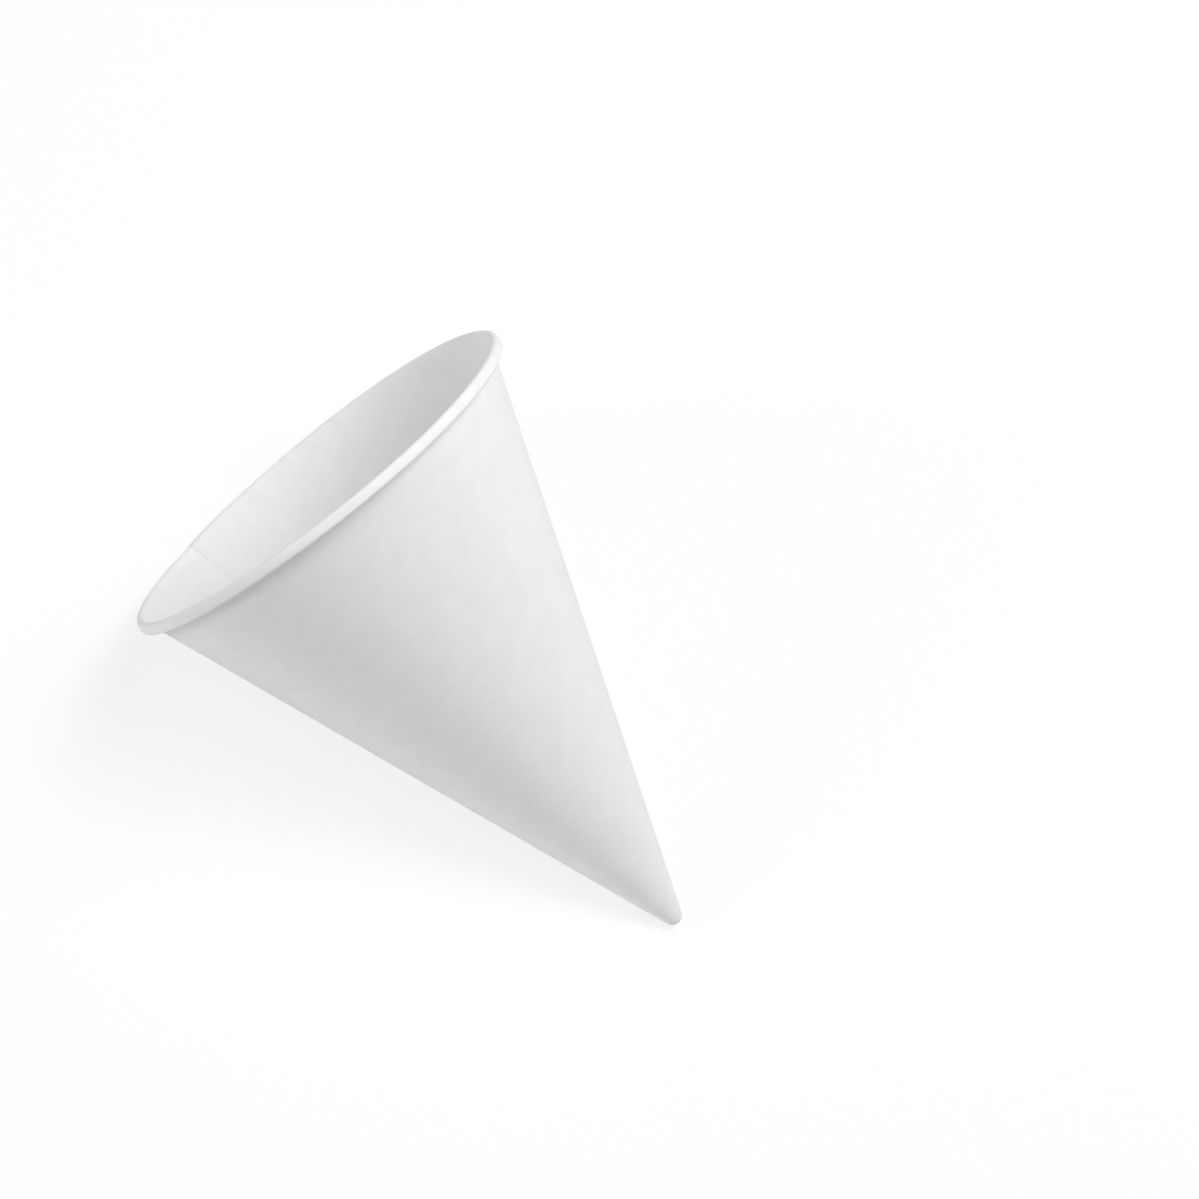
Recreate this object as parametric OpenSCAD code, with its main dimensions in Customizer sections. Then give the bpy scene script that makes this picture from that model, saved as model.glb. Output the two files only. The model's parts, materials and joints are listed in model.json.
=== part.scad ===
// Cone paper cup, lying on its side with its seam down.
// One sheet of paper is wound into a cone and glued where its edges overlap.
// Its top edge is rolled outwards into a hollow curl, and its tip is closed and rounded.

/* [Cup] */
// Outside diameter over the rolled rim
rim_d = 95; // [60:0.5:130]
// Height along the axis, from the end of the tip to the top of the rim
cup_h = 120.5; // [80:0.5:170]
// Outside radius of the rounded tip, over both layers of the overlap
tip_r = 2.3; // [1.2:0.1:6]

/* [Paper] */
// Thickness of the paper
paper_t = 0.25; // [0.15:0.01:0.35]
// Width of the glued overlap, the same all the way down the seam
lap_w = 12; // [6:0.5:16]

/* [Rolled rim] */
// Outside diameter of the curl
curl_d = 2.5; // [2:0.1:5]
// Air gap between the turns of the curl
curl_gap = 0.1; // [0.05:0.01:0.2]
// How far the sheet rolls on after one full turn, in degrees
curl_tail = 100; // [10:5:170]

/* [Hidden] */
$fn = 96;
paper_white = "#f3f3f1";

// The section is drawn with x as the radius and y as the height above the end of the tip
curl_r = curl_d / 2;
curl_centre = [rim_d / 2 - curl_r, cup_h - curl_r];
tip_centre = [0, tip_r];
tip_inner_r = tip_r - 2 * paper_t;

// The wall's inner face touches the tip's inside on its outer side and the curl on its inner side
centres = curl_centre - tip_centre;
centres_slope = atan2(centres.x, centres.y);
half_angle = centres_slope - asin((tip_inner_r + curl_r) / norm(centres));
wall_out = [cos(half_angle), -sin(half_angle)];
wall_foot = tip_centre + tip_inner_r * wall_out;
wall_head = curl_centre - curl_r * wall_out;

// The outer layer of the overlap sinks half a paper thickness into the inner one, as glue joins them
glue_sink = paper_t / 2;

// Two layers roll up tighter and stiffer than one, so across the overlap the rim is a straight full roll
roll_r = curl_r + paper_t / 2;
roll_half_angle = asin(lap_w / rim_d);
roll_centre = [curl_centre.x * cos(roll_half_angle), curl_centre.y];
roll_cover = 0.3;

// One line on the floor touches both the tip and the straight roll, and the axis rises from it
floor_line = roll_centre - tip_centre;
axis_rise = atan2(floor_line.x, floor_line.y) + asin((roll_r - tip_r) / norm(floor_line));
lying_from = -tip_r * (1 - cos(axis_rise));
lying_to = roll_centre.x * sin(axis_rise) + roll_centre.y * cos(axis_rise) + roll_r;

// Half of the plane, on the anticlockwise side of a ray from the origin
module half_plane(ray) {
    rotate(ray)
        translate([-2 * rim_d, 0])
            square([4 * rim_d, 2 * rim_d]);
}

// A layer of paper bent round a centre, from one angle anticlockwise to another up to half a turn on
module bent_layer(centre, outer_r, thickness, from, to) {
    translate(centre)
        intersection() {
            difference() {
                circle(outer_r);
                circle(outer_r - thickness);
            }
            half_plane(from);
            half_plane(to - 180);
        }
}

// A straight layer of paper up the wall, whose two faces lie this far out from the wall's inner face
module straight_layer(inner, outer) {
    polygon([
        wall_foot + inner * wall_out,
        wall_foot + outer * wall_out,
        wall_head + outer * wall_out,
        wall_head + inner * wall_out
    ]);
}

// The curl: half turns about two centres, so that each full turn lies inside the one before
module curl_section() {
    turn_step = paper_t + curl_gap;
    second_centre = curl_centre + turn_step / 2 * wall_out;
    bent_layer(curl_centre, curl_r, paper_t, -half_angle, 180 - half_angle);
    bent_layer(second_centre, curl_r - turn_step / 2, paper_t, 180 - half_angle, 360 - half_angle);
    bent_layer(curl_centre, curl_r - turn_step, paper_t, 180 - half_angle - curl_tail, 180 - half_angle);
}

// The sheet in section, from the closed tip up the wall to where the curl begins
module wall_section() {
    bent_layer(tip_centre, tip_inner_r + paper_t, paper_t, -90, -half_angle);
    straight_layer(0, paper_t);
}

// The second layer at the seam, from under the tip up into the curl
module lap_section() {
    bent_layer(tip_centre, tip_r, paper_t + glue_sink, -90, -half_angle);
    straight_layer(paper_t - glue_sink, 2 * paper_t);
}

// The curl all round, apart from the sector of the straight roll
module curl() {
    reach = rim_d;
    difference() {
        rotate_extrude() curl_section();
        linear_extrude(2 * cup_h)
            polygon([[0, 0], reach * [1, -tan(roll_half_angle)], reach * [1, tan(roll_half_angle)]]);
    }
}

// The straight roll at the seam, whose ends cover the cut ends of the curl
module seam_roll() {
    translate([roll_centre.x, 0, roll_centre.y])
        rotate([90, 0, 0])
            cylinder(h = lap_w + 2 * roll_cover, r = roll_r, center = true);
}

// The overlap, cut to one width from the whole outer layer
module lap() {
    intersection() {
        rotate_extrude() lap_section();
        translate([0, -lap_w / 2, 0]) cube([rim_d, lap_w, cup_h]);
    }
}

// From standing on its tip to lying on its side, centred over the floor
module lay_down() {
    translate([-(lying_from + lying_to) / 2, 0, tip_r * (1 - sin(axis_rise))])
        rotate([0, 90 - axis_rise, 0])
            children();
}

module cone_cup() {
    color(paper_white)
        lay_down() {
            rotate_extrude() wall_section();
            curl();
            lap();
            seam_roll();
        }
}

cone_cup();
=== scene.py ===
"""A cone paper cup lying on a pale floor with its seam down, under soft studio light.

One sheet of paper is wound into a cone, lapped and glued along its side, and its top edge is
rolled outwards into a curl. Lengths are in millimetres until the mesh is made. The cup is worked
out standing on its tip, with its axis as Z and the middle of its seam towards X, and then laid down.
"""
import json

import bpy
import numpy as np
from mathutils import Matrix


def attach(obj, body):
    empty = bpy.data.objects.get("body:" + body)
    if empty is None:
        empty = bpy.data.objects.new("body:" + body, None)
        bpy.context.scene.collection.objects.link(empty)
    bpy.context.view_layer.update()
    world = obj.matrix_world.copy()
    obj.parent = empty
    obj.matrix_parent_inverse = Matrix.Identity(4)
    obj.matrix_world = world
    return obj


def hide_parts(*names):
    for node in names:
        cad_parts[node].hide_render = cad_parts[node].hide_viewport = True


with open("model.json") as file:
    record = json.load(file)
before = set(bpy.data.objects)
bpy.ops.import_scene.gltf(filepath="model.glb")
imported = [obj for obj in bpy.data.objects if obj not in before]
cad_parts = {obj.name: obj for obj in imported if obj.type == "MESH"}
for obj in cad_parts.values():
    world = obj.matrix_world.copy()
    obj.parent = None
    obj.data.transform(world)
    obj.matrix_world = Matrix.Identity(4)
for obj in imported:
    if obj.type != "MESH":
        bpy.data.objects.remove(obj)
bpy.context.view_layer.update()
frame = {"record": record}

MM = 0.001

# Sizes of the cup, the same as in the part's source
RIM_D = 95.0
CUP_H = 120.5
TIP_R = 2.3
PAPER_T = 0.25
LAP_W = 12.0
CURL_R = 1.25
CURL_GAP = 0.1
CURL_TAIL = np.radians(100)

# What follows from them: the curl's and the tip's centres in section, and the slope of the wall
CURL_CENTRE = np.array([RIM_D / 2 - CURL_R, CUP_H - CURL_R])
TIP_CENTRE = np.array([0, TIP_R])
TIP_INNER_R = TIP_R - 2 * PAPER_T
CENTRES = CURL_CENTRE - TIP_CENTRE
HALF_ANGLE = np.arctan2(*CENTRES) - np.arcsin((TIP_INNER_R + CURL_R) / np.hypot(*CENTRES))
WALL_OUT = np.array([np.cos(HALF_ANGLE), -np.sin(HALF_ANGLE)])
UP_WALL = np.array([np.sin(HALF_ANGLE), np.cos(HALF_ANGLE)])
WALL_FOOT = TIP_CENTRE + TIP_INNER_R * WALL_OUT
WALL_HEAD = CURL_CENTRE - CURL_R * WALL_OUT
TURN_STEP = PAPER_T + CURL_GAP

# The overlap: its glue, how the outer layer climbs onto the inner one, and how both become one near the tip
GLUE_T = 0.02
LAP_HALF_ANGLE = np.arcsin(LAP_W / RIM_D)
LAP_MOST_ANGLE = np.radians(80)
CLIMB_W = 9.0
CLIMB_MOST_ANGLE = np.radians(50)
LAP_FADE = (1.0, 8.0)
LEAST_RADIUS = 1.0

# At the overlap the rim is straight, and its roll of two layers is thicker and looser
ROLL_SWELL = PAPER_T / 2
ROLL_LOOSER = PAPER_T
ROLL_RUN_OUT = np.radians(6)
STRAIGHT_REACH = 40.0

# The pressed rim: how square its roll is, its lower height, its breadth at foot and top, and its wave
CURL_SQUARE = 2.7
CURL_FOOT = 0.85
CURL_FOLD = 0.7
CURL_BREADTH = (1.15, 0.6)
RIM_SADDLE = -0.4
SADDLE_TURN = np.radians(65)

# The inner edge of the sheet, pressed thin where it is glued down
EDGE_PRESS = 0.19
EDGE_RUN = 2.5

# How finely the sheet is divided, and the bend from which an edge of it looks sharp
TURN_COLUMNS = 400
LAP_COLUMNS = 24
TIP_ROWS = 8
WALL_ROWS = 40
HALF_TURN_ROWS = 18
TAIL_ROWS = 10
SHARP_ANGLE = np.radians(50)

# The camera, found from the mouth's ellipse and the wall's outlines in a picture this many pixels wide
PICTURE = 1199
SENSOR = 36.0
MOUTH_PIXEL = np.array([318.8, 482.3])
PIXELS_PER_RADIUS = 226.6
EYE_RADII = 40.0
EYE_OVER_MOUTH = np.radians(9.55)
MOUTH_TURN = np.radians(-39.21)
EYE_FROM_SEAM = np.radians(147.5)

# The paper's clouds and flocks of fibres along and across the sheet, their relief, and light's reach, in mm
CLOUD_MM = (6.0, 4.0, 1.0)
FLOCK_MM = (2.5, 0.5, 1.0)
FLOCK_RELIEF = 0.03
LIGHT_REACH = 0.1

# The flocks' share in the paper's tone, finer layers in both patterns, the relief's strength and roughness
FLOCK_SHARE = 0.4
CLOUD_DETAIL = 3.0
FLOCK_DETAIL = 2.0
RELIEF_STRENGTH = 0.3
PAPER_ROUGHNESS = 0.85

# The colours, as sRGB
PAPER_LIGHT = "F1F1F1"
PAPER_CLOUD = "E3E3E2"
FLOOR_WHITE = "F2F2F2"
PURE_WHITE = "FFFFFF"

# The floor's half width in metres, and the share of its own white where the picture sees it
FLOOR_HALF = 4.0
FLOOR_OWN_WHITE = 0.8

# The lamps: where they point and how far off they stand, in metres
LAMPS_AIM = np.array([0.02, 0, 0.04])
LAMP_DISTANCE = 0.9

# Each lamp's direction to the right, up and back in the picture, its width in metres and its watts
KEY_TOWARDS = (0.516, 0.564, 0.613)
KEY_SIZE = 0.6
KEY_POWER = 7.8
FILL_TOWARDS = (-0.747, 0.036, 0.663)
FILL_SIZE = 0.3
FILL_POWER = 2.0

# The soft light from the camera's side, at its brightest
WORLD_STRENGTH = 0.451


def linear(hex_colour):
    """An sRGB hex colour as linear red, green, blue and alpha."""
    srgb = np.array([int(hex_colour[i:i + 2], 16) for i in (0, 2, 4)]) / 255
    rgb = np.where(srgb <= 0.04045, srgb / 12.92, ((srgb + 0.055) / 1.055) ** 2.4)
    return (*rgb.tolist(), 1.0)


def ease(x):
    """A smooth step: 0 up to x = 0, 1 from x = 1, and 3x^2 - 2x^3 between."""
    x = np.clip(x, 0, 1)
    return x * x * (3 - 2 * x)


def unit(v):
    """The vector at length 1."""
    return v / np.linalg.norm(v)


def add_node(tree, kind, settings=None, inputs=None):
    """Adds a node. Settings are its properties; inputs are values, or outputs of other nodes to link."""
    node = tree.nodes.new(kind)
    for name, value in (settings or {}).items():
        setattr(node, name, value)
    for name, value in (inputs or {}).items():
        if isinstance(value, bpy.types.NodeSocket):
            tree.links.new(value, node.inputs[name])
        else:
            node.inputs[name].default_value = value
    return node


def arc(centre, radius, start, end, rows):
    """Points on a circle from one angle to another, with the directions from its centre to them."""
    angle = np.linspace(start, end, rows + 1)
    out = np.stack([np.cos(angle), np.sin(angle)], 1)
    return centre + radius * out, out


def pressed_roll(point):
    """Points of the round curl moved to where pressing left them: squarer, narrow on top, broad at the foot.

    A point at angle f from the wall's outward direction is set 1 / (|cos f|^n + |sin f|^n)^(1/n) times as
    far out, which is a circle's radius at n = 2 and nears a square's as n grows. The lower half is made
    less high. Beyond the fold, the distance from the wall is then multiplied by a breadth that changes
    evenly from the roll's foot to its top.
    """
    local = np.stack([(point - CURL_CENTRE) @ WALL_OUT, (point - CURL_CENTRE) @ UP_WALL], 1)
    share = np.abs(local) / np.linalg.norm(local, axis=1, keepdims=True)
    local *= np.sum(share ** CURL_SQUARE, axis=1, keepdims=True) ** (-1 / CURL_SQUARE)
    local[:, 1] *= np.where(local[:, 1] < 0, CURL_FOOT, 1)
    breadth = np.interp(local[:, 1], [-CURL_R, CURL_R], CURL_BREADTH)
    past_fold = np.maximum(local[:, 0] + CURL_R - CURL_FOLD, 0)
    across = local[:, 0] + (breadth - 1) * past_fold
    return CURL_CENTRE + across[:, None] * WALL_OUT + local[:, 1:] * UP_WALL


def sheet_section():
    """The sheet's inner face in section, from the tip to the end of the curl.

    An arc closes the tip, a straight line that touches it runs up the wall, and half turns about two
    centres roll the curl, which is then pressed to shape. The face is on the outside of the curl, so its
    normal there points inwards. Normals are the tangents turned a quarter clockwise.
    Returns the points, their normals, the length along the sheet, how far each point is up into the rim
    (0 to 1), and how it moves for 1 mm more between the curl's turns.
    """
    second_centre = CURL_CENTRE + TURN_STEP / 2 * WALL_OUT
    second_r = CURL_R - TURN_STEP / 2
    top = np.pi - HALF_ANGLE
    tip, _ = arc(TIP_CENTRE, TIP_INNER_R, -np.pi / 2, -HALF_ANGLE, TIP_ROWS)
    share = np.linspace(0, 1, WALL_ROWS + 1)[1:, None]
    wall = WALL_FOOT + share * (WALL_HEAD - WALL_FOOT)
    first, _ = arc(CURL_CENTRE, CURL_R, top, -HALF_ANGLE, HALF_TURN_ROWS)
    second, second_out = arc(second_centre, second_r, -HALF_ANGLE, top - 2 * np.pi, HALF_TURN_ROWS)
    tail, tail_out = arc(CURL_CENTRE, CURL_R - TURN_STEP, top, top - CURL_TAIL, TAIL_ROWS)

    plain = np.concatenate([tip, wall])
    curl = np.concatenate([first[1:], second[1:], tail[1:]])
    point = np.concatenate([plain, pressed_roll(curl)])
    slant = np.concatenate([[0], np.cumsum(np.linalg.norm(np.diff(point, axis=0), axis=1))])
    tangent = np.gradient(point, slant, axis=0)
    tangent[0] = [1, 0]
    tangent /= np.linalg.norm(tangent, axis=1, keepdims=True)
    normal = np.stack([tangent[:, 1], -tangent[:, 0]], 1)
    in_rim = np.concatenate([ease(1 - (WALL_HEAD[1] - plain[:, 1]) / STRAIGHT_REACH), np.ones(len(curl))])
    looser = np.concatenate([0 * plain, 0 * first[1:], (WALL_OUT - second_out[1:]) / 2, -tail_out[1:]])
    return point, normal, slant, in_rim, looser


def wound_sheet():
    """The whole sheet as one closed grid, wound from its inner edge round to its outer edge.

    Each column is the section's loop, up the inner face and back down the outer one, at a winding angle w.
    A full turn takes the sheet round to its inner edge again. It climbs there by one thickness on a smooth
    step, and goes on over the inner layer for the overlap's angle. That is the overlap's width over the
    radius, which counts as 1 mm at least. A hyperbolic tangent keeps it below a most, and it goes to
    nothing at the tip. The direction round the axis is the inner edge's less w. The radius is scaled to a
    chord within the overlap, near the rim, and the rim slides up and down the wall by a sine of twice the
    direction. The inner edge is pressed thin by its glue.
    Returns the places of the grid's corners, where each lay in the flat fan before it was wound (at the
    distance from the fan's apex that it has up the sheet, at w times the sine of the cone's half angle),
    and how many rows at the tip have no overlap.
    """
    point, normal, slant, in_rim, looser = sheet_section()
    radius = np.maximum(point[:, 0], LEAST_RADIUS)
    fade = ease((slant - LAP_FADE[0]) / (LAP_FADE[1] - LAP_FADE[0]))
    lap_angle = LAP_MOST_ANGLE * np.tanh(LAP_W / radius / LAP_MOST_ANGLE) * np.sqrt(fade)
    climb_angle = np.minimum(CLIMB_W / radius, CLIMB_MOST_ANGLE)

    turn = np.linspace(0, 2 * np.pi, TURN_COLUMNS + 1)
    past = np.linspace(0, 1, LAP_COLUMNS + 1)[1:]
    w = np.concatenate([np.broadcast_to(turn, (len(point), len(turn))),
                        2 * np.pi + lap_angle[:, None] * past], 1)
    direction = LAP_HALF_ANGLE - w
    off_seam = np.abs((direction + np.pi) % (2 * np.pi) - np.pi)
    layer = (PAPER_T + GLUE_T) * fade[:, None] * ease((w - 2 * np.pi) / climb_angle[:, None] + 1)
    at_lap = 1 - ease((off_seam - LAP_HALF_ANGLE) / ROLL_RUN_OUT)
    chord = np.cos(LAP_HALF_ANGLE) / np.cos(np.minimum(off_seam, LAP_HALF_ANGLE))
    straight = 1 + in_rim[:, None] * (chord - 1)
    pressed = EDGE_PRESS * fade[:, None] * (1 - ease(w * radius[:, None] / EDGE_RUN))
    slide = in_rim[:, None] * RIM_SADDLE * np.sin(2 * direction + SADDLE_TURN)

    roll = ROLL_LOOSER * looser - ROLL_SWELL * in_rim[:, None] * normal
    section = point[:, None] + at_lap[..., None] * roll[:, None] + slide[..., None] * UP_WALL
    inner = section + (layer + pressed)[..., None] * normal[:, None]
    outer = section + (layer + PAPER_T)[..., None] * normal[:, None]
    loop = np.concatenate([inner, outer[::-1]])
    both = np.concatenate([np.arange(len(point)), np.arange(len(point))[::-1]])
    ring = loop[..., 0] * straight[both]
    place = np.stack([ring * np.cos(direction[both]), ring * np.sin(direction[both]), loop[..., 1]], -1)
    from_apex = slant - slant[TIP_ROWS] + WALL_FOOT[0] / np.sin(HALF_ANGLE)
    fan_angle = w * np.sin(HALF_ANGLE)
    flat = from_apex[:, None, None] * np.stack([np.cos(fan_angle), np.sin(fan_angle)], -1)
    return place, flat[both], np.count_nonzero(fade == 0)


def corner_numbers(rows, columns, joined):
    """Numbers for the grid's corners, by row and column, with one number for corners at the same point.

    The first and last rows are single points. In the rows next to them, where the sheet has no overlap,
    the columns from a full turn on are the first column again. Also returns which corners are kept.
    """
    number = np.arange(rows * columns).reshape(rows, columns)
    for row in (0, -1):
        number[row] = number[row, 0]
    for tip in (slice(1, joined), slice(rows - joined, rows - 1)):
        number[tip, TURN_COLUMNS:] = number[tip, :1]
    kept, number = np.unique(number, return_inverse=True)
    return number.reshape(rows, columns), kept


def closed_grid_faces(grid, joined):
    """Faces of a grid of corner numbers, with caps on its two end columns.

    A column is a flat loop that runs up one face of the sheet and back down the other, so the caps join
    each row to its mirror row, from where the overlap begins. A face loses corners that repeat, and is
    dropped if fewer than three are left.
    """
    quads = np.stack([grid[:-1, :-1], grid[:-1, 1:], grid[1:, 1:], grid[1:, :-1]], -1).reshape(-1, 4)
    half = len(grid) // 2
    up, down = grid[joined - 1:half], grid[::-1][joined - 1:half]
    start_cap = np.stack([up[:-1, 0], up[1:, 0], down[1:, 0], down[:-1, 0]], -1)
    end_cap = np.stack([up[1:, -1], up[:-1, -1], down[:-1, -1], down[1:, -1]], -1)
    faces = np.concatenate([quads, start_cap, end_cap])
    repeats = faces == np.roll(faces, -1, axis=1)
    count = repeats.sum(axis=1)
    triangles = faces[count == 1][~repeats[count == 1]].reshape(-1, 3)
    return faces[count == 0].tolist() + triangles.tolist()


def lay_down():
    """The turn and shift from standing on the tip to lying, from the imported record's place of the rim.

    The cup's axis goes along the rim's axis, and the middle of the seam goes to the lowest side.
    """
    rim = next(m for m in frame["record"]["mounts"] if m["name"] == "rolled_rim")
    axis = np.array(rim["axis"])
    seam = np.array([axis[2], 0, -axis[0]])
    turn = np.stack([seam, np.cross(axis, seam), axis], 1)
    mouth = np.array(rim["pos_m"])
    return turn, mouth


def make_cup(material):
    """The cup as one mesh, in metres where the part lies."""
    place, flat, joined = wound_sheet()
    grid, kept = corner_numbers(*place.shape[:2], joined)
    corner = place.reshape(-1, 3)[kept]
    fan = flat.reshape(-1, 2)[kept]
    turn, mouth = lay_down()
    world = mouth + MM * (corner - [0, 0, CURL_CENTRE[1]]) @ turn.T

    mesh = bpy.data.meshes.new("cone_cup_sheet")
    mesh.from_pydata(world, [], closed_grid_faces(grid, joined))
    sheet = mesh.attributes.new("flat_mm", "FLOAT_VECTOR", "POINT")
    sheet.data.foreach_set("vector", np.pad(fan, ((0, 0), (0, 1))).ravel())
    mesh.shade_smooth()
    mesh.set_sharp_from_angle(angle=SHARP_ANGLE)
    mesh.materials.append(material)
    cup = bpy.data.objects.new("cone_cup_sheet", mesh)
    bpy.context.collection.objects.link(cup)
    return cup


def bleached_paper():
    """Uncoated bleached paper: matt white, faintly cloudy, with fibres that lie mostly one way in the sheet.

    The patterns are drawn in the flat sheet, so they run on round the cone and into the curl. The fibres
    are a few hundredths of a millimetre wide in truth. They are drawn as flocks, as coarse as they need to
    be to show. A little light goes into the sheet, spreads there and comes out again.
    """
    material = bpy.data.materials.new("bleached_paper")
    material.use_nodes = True
    tree = material.node_tree
    tree.nodes.clear()
    flat = add_node(tree, "ShaderNodeAttribute", {"attribute_name": "flat_mm"}).outputs["Vector"]
    in_clouds = add_node(tree, "ShaderNodeVectorMath", {"operation": "DIVIDE"}, {0: flat, 1: CLOUD_MM})
    in_flocks = add_node(tree, "ShaderNodeVectorMath", {"operation": "DIVIDE"}, {0: flat, 1: FLOCK_MM})
    cloud = add_node(tree, "ShaderNodeTexNoise", {}, {
        "Vector": in_clouds.outputs["Vector"], "Scale": 1.0, "Detail": CLOUD_DETAIL})
    flock = add_node(tree, "ShaderNodeTexNoise", {}, {
        "Vector": in_flocks.outputs["Vector"], "Scale": 1.0, "Detail": FLOCK_DETAIL})
    thickness = add_node(tree, "ShaderNodeMix", {"data_type": "FLOAT"}, {
        0: FLOCK_SHARE, 2: cloud.outputs["Fac"], 3: flock.outputs["Fac"]})
    colour = add_node(tree, "ShaderNodeMix", {"data_type": "RGBA"}, {
        0: thickness.outputs[0], 6: linear(PAPER_CLOUD), 7: linear(PAPER_LIGHT)})
    bump = add_node(tree, "ShaderNodeBump", {}, {
        "Strength": RELIEF_STRENGTH, "Distance": FLOCK_RELIEF * MM, "Height": flock.outputs["Fac"]})
    shader = add_node(tree, "ShaderNodeBsdfPrincipled", {}, {
        "Base Color": colour.outputs[2], "Roughness": PAPER_ROUGHNESS, "Normal": bump.outputs["Normal"],
        "Subsurface Weight": 1.0, "Subsurface Radius": (1, 1, 1), "Subsurface Scale": LIGHT_REACH * MM})
    add_node(tree, "ShaderNodeOutputMaterial", {}, {"Surface": shader.outputs["BSDF"]})
    return material


def seen_rays(tree):
    """1 for the rays by which the picture sees a surface: straight, mirrored or through glass."""
    path = add_node(tree, "ShaderNodeLightPath")
    straight = add_node(tree, "ShaderNodeMath", {"operation": "MAXIMUM"}, {
        0: path.outputs["Is Camera Ray"], 1: path.outputs["Is Glossy Ray"]})
    return add_node(tree, "ShaderNodeMath", {"operation": "MAXIMUM"}, {
        0: straight.outputs[0], 1: path.outputs["Is Transmission Ray"]}).outputs[0]


def make_floor():
    """A wide pale floor that shows a soft shadow. Seen by the camera, part of its white is its own."""
    corners = FLOOR_HALF * np.array([(-1, -1, 0), (1, -1, 0), (1, 1, 0), (-1, 1, 0)])
    mesh = bpy.data.meshes.new("floor")
    mesh.from_pydata(corners, [], [(0, 1, 2, 3)])
    material = bpy.data.materials.new("pale_floor")
    material.use_nodes = True
    tree = material.node_tree
    tree.nodes.clear()
    matt = add_node(tree, "ShaderNodeBsdfDiffuse", {}, {"Color": linear(FLOOR_WHITE)})
    white = add_node(tree, "ShaderNodeEmission", {}, {"Color": linear(PURE_WHITE), "Strength": 1.0})
    share = add_node(tree, "ShaderNodeMath", {"operation": "MULTIPLY"}, {
        0: seen_rays(tree), 1: FLOOR_OWN_WHITE})
    mixed = add_node(tree, "ShaderNodeMixShader", {}, {
        0: share.outputs[0], 1: matt.outputs[0], 2: white.outputs[0]})
    add_node(tree, "ShaderNodeOutputMaterial", {}, {"Surface": mixed.outputs[0]})
    mesh.materials.append(material)
    floor = bpy.data.objects.new("floor", mesh)
    bpy.context.collection.objects.link(floor)
    return floor


def make_camera():
    """The camera at the photograph's viewing angle, and its right, up and back directions.

    The eye stands over the plane of the mouth by a small angle, on the far side from the seam. The picture
    is turned until the mouth's ellipse leans as it should, and the mouth's centre falls on its pixel.
    """
    focal = PIXELS_PER_RADIUS * EYE_RADII
    turn, mouth = lay_down()
    towards = np.cos(EYE_FROM_SEAM) * turn[:, 0] + np.sin(EYE_FROM_SEAM) * turn[:, 1]
    axis = turn[:, 2]
    to_eye = np.cos(EYE_OVER_MOUTH) * towards + np.sin(EYE_OVER_MOUTH) * axis
    axis_up = np.cos(EYE_OVER_MOUTH) * axis - np.sin(EYE_OVER_MOUTH) * towards
    side = np.cross(axis_up, to_eye)

    ahead = unit(np.array([*(MOUTH_PIXEL - PICTURE / 2) / focal, 1]))
    ahead_right = unit(np.cross([0, 1, 0], ahead))
    ahead_down = np.cross(ahead, ahead_right)
    side_seen = np.cos(MOUTH_TURN) * ahead_right + np.sin(MOUTH_TURN) * ahead_down
    up_seen = np.sin(MOUTH_TURN) * ahead_right - np.cos(MOUTH_TURN) * ahead_down
    right, down, forward = np.outer(side_seen, side) + np.outer(up_seen, axis_up) - np.outer(ahead, to_eye)

    lens = bpy.data.cameras.new("camera")
    lens.sensor_width = SENSOR
    lens.lens = focal / PICTURE * SENSOR
    camera = bpy.data.objects.new("camera", lens)
    eye = mouth + EYE_RADII * CURL_CENTRE[0] * MM * to_eye
    pose = np.eye(4)
    pose[:3] = np.stack([right, -down, -forward, eye], 1)
    camera.matrix_world = Matrix(pose.tolist())
    bpy.context.collection.objects.link(camera)
    bpy.context.scene.camera = camera
    return right, -down, -forward


def make_light(name, towards, size, power):
    """A square soft lamp in a direction from the point that the lamps aim at, turned to face it."""
    lamp = bpy.data.lights.new(name, "AREA")
    lamp.size = size
    lamp.energy = power
    away = unit(towards)
    across = unit(np.cross([0, 0, 1], away))
    pose = np.eye(4)
    pose[:3] = np.stack([across, np.cross(away, across), away, LAMPS_AIM + LAMP_DISTANCE * away], 1)
    light = bpy.data.objects.new(name, lamp)
    light.matrix_world = Matrix(pose.tolist())
    bpy.context.collection.objects.link(light)


def make_world(strength, brightest):
    """Soft light that falls off from one side as a cosine, and plain white where the picture sees it."""
    world = bpy.data.worlds.new("studio")
    world.use_nodes = True
    bpy.context.scene.world = world
    tree = world.node_tree
    tree.nodes.clear()
    look = add_node(tree, "ShaderNodeTexCoord").outputs["Generated"]
    towards = add_node(tree, "ShaderNodeVectorMath", {"operation": "DOT_PRODUCT"}, {
        0: look, 1: (strength * brightest).tolist()})
    lit = add_node(tree, "ShaderNodeMath", {"operation": "MAXIMUM"}, {
        0: towards.outputs["Value"], 1: 0.0})
    level = add_node(tree, "ShaderNodeMix", {"data_type": "FLOAT"}, {
        0: seen_rays(tree), 2: lit.outputs[0], 3: 1.0})
    sky = add_node(tree, "ShaderNodeBackground", {}, {
        "Color": linear(PURE_WHITE), "Strength": level.outputs[0]})
    add_node(tree, "ShaderNodeOutputWorld", {}, {"Surface": sky.outputs[0]})


cup = make_cup(bleached_paper())
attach(cup, "root")
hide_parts("cone_cup")

floor = make_floor()

right, up, back = make_camera()
picture = np.stack([right, up, back], 1)
make_light("key", picture @ KEY_TOWARDS, KEY_SIZE, KEY_POWER)
make_light("fill", picture @ FILL_TOWARDS, FILL_SIZE, FILL_POWER)
make_world(WORLD_STRENGTH, back)

bpy.context.scene.view_settings.view_transform = "Standard"
